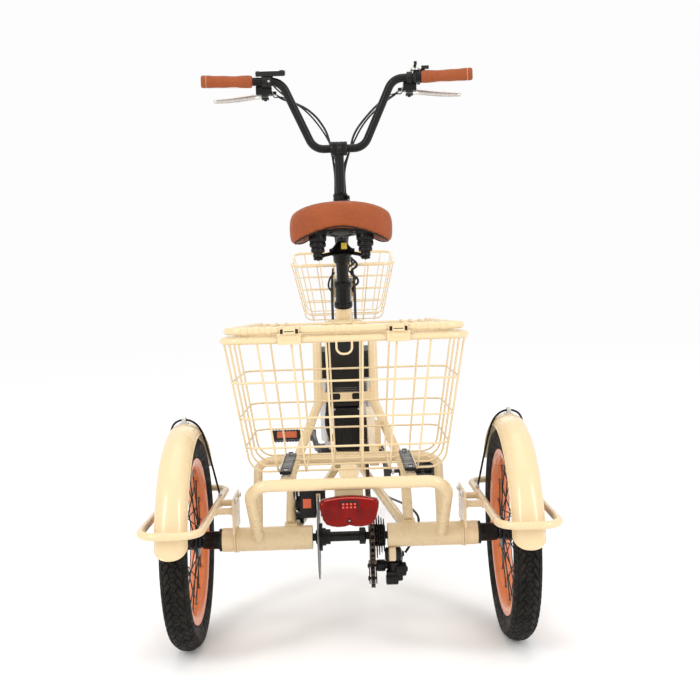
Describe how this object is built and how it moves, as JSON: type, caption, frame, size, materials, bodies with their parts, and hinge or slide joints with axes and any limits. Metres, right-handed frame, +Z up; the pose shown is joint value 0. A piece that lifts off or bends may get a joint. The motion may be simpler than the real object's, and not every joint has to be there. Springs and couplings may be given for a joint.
{
  "type": "adult tricycle",
  "caption": "Electric-assist adult tricycle with wire cargo baskets, sprung saddle, high-rise handlebar, fenders, tubular wheel guards, pedals, chain drive, disc brake and tail light.",
  "frame": {"origin": "on the ground under the middle of the tricycle's box", "axes": "+X to the rider's right, +Y forwards, +Z up"},
  "size_m": [0.74, 1.629, 1.281],
  "materials": {
    "cream_paint": "gloss",
    "black_paint": "satin",
    "dark_steel": "brushed",
    "bright_steel": "brushed",
    "black_plastic": "matte",
    "tan_leather": "grained",
    "orange_rim": "gloss",
    "tyre_rubber": "matte",
    "red_lens": "clear",
    "cable_sheath": "satin"
  },
  "bodies": {
    "frame": {"front_frame": "cream_paint", "rear_frame": "cream_paint", "axle_housings": "cream_paint", "axle_bearings": "dark_steel", "rack_hoops": "cream_paint", "wheel_guards": "cream_paint", "rear_fenders": "cream_paint", "fender_stays": "bright_steel", "rear_basket": "cream_paint", "basket_clamps": "black_paint", "battery_pack": "black_plastic", "controller_box": "black_plastic", "tail_light": "red_lens", "chain_guard": "cream_paint", "brake_caliper": "black_plastic", "chain": "dark_steel", "derailleur_body": "dark_steel", "front_basket": "cream_paint", "frame_bearings": "dark_steel", "seat_collar": "black_paint", "frame_cables": "cable_sheath"},
    "seat_stem": {"seatpost": "black_paint", "saddle_clamp": "black_paint", "saddle_springs": "black_plastic"},
    "saddle": {"saddle_base": "black_plastic", "saddle_cushion": "tan_leather"},
    "fork": {"fork_upper": "black_paint", "steering_cables": "cable_sheath"},
    "lowers": {"fork_lowers": "black_paint", "front_fender": "cream_paint", "front_axle": "dark_steel"},
    "front_wheel": {"front_tyre": "tyre_rubber", "front_rim": "orange_rim", "front_hub": "black_paint"},
    "stem": {"stem_post": "black_paint", "handlebar": "black_paint", "grips": "tan_leather", "lever_brackets": "black_plastic", "display": "black_plastic", "bell": "bright_steel", "control_cables": "cable_sheath"},
    "quick_lever": {"stem_lever": "black_paint"},
    "left_brake": {"brake_lever_left": "bright_steel"},
    "right_brake": {"brake_lever_right": "bright_steel"},
    "bell_thumb": {"bell_lever": "black_plastic"},
    "shift_thumb": {"shift_lever": "black_plastic"},
    "crank": {"crankset": "black_paint"},
    "left_pedal": {"pedal_left": "black_plastic"},
    "right_pedal": {"pedal_right": "black_plastic"},
    "axle": {"drive_axle": "dark_steel", "brake_rotor": "bright_steel", "rear_tyre_right": "tyre_rubber", "rear_rim_right": "orange_rim", "rear_hub_right": "black_paint"},
    "left_wheel": {"rear_tyre_left": "tyre_rubber", "rear_rim_left": "orange_rim", "rear_hub_left": "black_paint"},
    "sprockets": {"freewheel": "dark_steel"},
    "cage": {"derailleur_cage": "dark_steel"},
    "lid": {"basket_lid": "cream_paint"}
  },
  "joints": [
    {"name": "seat_height", "type": "slide", "parent": "frame", "child": "seat_stem", "axis": [0, -0.3107, 0.9505], "range_m": [-0.04, 0.06]},
    {"name": "saddle_bounce", "type": "slide", "parent": "seat_stem", "child": "saddle", "axis": [0, 0, 1], "range_m": [-0.015, 0], "stiffness_N_per_m": 12000, "springref_m": 0.004, "deforming": ["saddle_springs"]},
    {"name": "steering", "type": "hinge", "parent": "frame", "child": "fork", "pos_m": [0, 0.45695, 0.6], "axis": [0, -0.2756, 0.9613], "range_deg": [-45, 45]},
    {"name": "fork_travel", "type": "slide", "parent": "fork", "child": "lowers", "axis": [0, -0.2756, 0.9613], "range_m": [0, 0.035], "stiffness_N_per_m": 9000, "springref_m": -0.03},
    {"name": "front_spin", "type": "hinge", "parent": "lowers", "child": "front_wheel", "pos_m": [0, 0.6105, 0.204], "axis": [1, 0, 0], "continuous": true},
    {"name": "stem_height", "type": "slide", "parent": "fork", "child": "stem", "axis": [0, -0.2756, 0.9613], "range_m": [0, 0.05]},
    {"name": "quick_lever_turn", "type": "hinge", "parent": "fork", "child": "quick_lever", "pos_m": [0.024, 0.3765, 0.933], "axis": [-1, 0, 0], "range_deg": [0, 90]},
    {"name": "left_brake_pull", "type": "hinge", "parent": "stem", "child": "left_brake", "pos_m": [-0.196, 0.32793, 1.213], "axis": [0, 0, 1], "range_deg": [0, 18], "stiffness_Nm_per_rad": 1, "springref_deg": -5.73},
    {"name": "right_brake_pull", "type": "hinge", "parent": "stem", "child": "right_brake", "pos_m": [0.196, 0.32793, 1.213], "axis": [0, 0, -1], "range_deg": [0, 18], "stiffness_Nm_per_rad": 1, "springref_deg": -5.73},
    {"name": "bell_push", "type": "hinge", "parent": "stem", "child": "bell_thumb", "pos_m": [0.21, 0.27993, 1.271], "axis": [0, 0, 1], "range_deg": [0, 25], "stiffness_Nm_per_rad": 0.05, "springref_deg": -2.86},
    {"name": "shift_push", "type": "hinge", "parent": "stem", "child": "shift_thumb", "pos_m": [0.231, 0.30293, 1.2636], "axis": [0, 0, 1], "range_deg": [0, 30]},
    {"name": "crank_spin", "type": "hinge", "parent": "frame", "child": "crank", "pos_m": [0, -0.0545, 0.288], "axis": [1, 0, 0], "continuous": true},
    {"name": "left_pedal_spin", "type": "hinge", "parent": "crank", "child": "left_pedal", "pos_m": [-0.153, 0.11015, 0.30909], "axis": [1, 0, 0], "continuous": true},
    {"name": "right_pedal_spin", "type": "hinge", "parent": "crank", "child": "right_pedal", "pos_m": [0.153, -0.21915, 0.26691], "axis": [1, 0, 0], "continuous": true},
    {"name": "axle_spin", "type": "hinge", "parent": "frame", "child": "axle", "pos_m": [0, -0.5695, 0.204], "axis": [1, 0, 0], "continuous": true},
    {"name": "left_wheel_spin", "type": "hinge", "parent": "frame", "child": "left_wheel", "pos_m": [-0.311, -0.5695, 0.204], "axis": [1, 0, 0], "continuous": true},
    {"name": "sprocket_spin", "type": "hinge", "parent": "frame", "child": "sprockets", "pos_m": [0.042, -0.5695, 0.204], "axis": [1, 0, 0], "continuous": true},
    {"name": "cage_swing", "type": "hinge", "parent": "frame", "child": "cage", "pos_m": [0.042, -0.5435, 0.138], "axis": [1, 0, 0], "range_deg": [-10, 10], "stiffness_Nm_per_rad": 1},
    {"name": "lid_open", "type": "hinge", "parent": "frame", "child": "lid", "pos_m": [0, -0.693, 0.6], "axis": [1, 0, 0], "range_deg": [0, 110]}
  ],
  "couplings": [
    {"joint": "sprocket_spin", "follows": "crank_spin", "ratio": 1.68}
  ]
}
